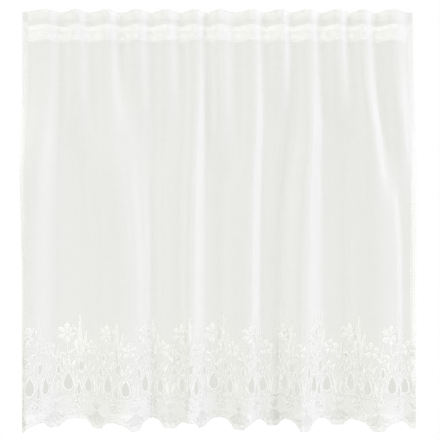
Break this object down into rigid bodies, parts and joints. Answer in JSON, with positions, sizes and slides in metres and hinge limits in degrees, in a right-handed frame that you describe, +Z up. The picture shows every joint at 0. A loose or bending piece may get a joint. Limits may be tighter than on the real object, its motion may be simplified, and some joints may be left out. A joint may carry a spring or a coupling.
{
  "type": "lace curtain",
  "caption": "Short sheer window curtain hung in folds, with a taped heading and a deep embroidered lace border with openings and a scalloped hem.",
  "frame": {"origin": "middle of the top edge, between the two sides and midway through the depth of the folds", "axes": "+Z up, +X across the curtain to the right as seen from the room, +Y from the room towards the window"},
  "size_m": [0.8551, 0.0772, 0.9003],
  "materials": {
    "voile": "sheer, matt",
    "tape": "woven, matt"
  },
  "bodies": {
    "root": {"panel": "voile", "heading_tape": "tape"}
  },
  "joints": []
}
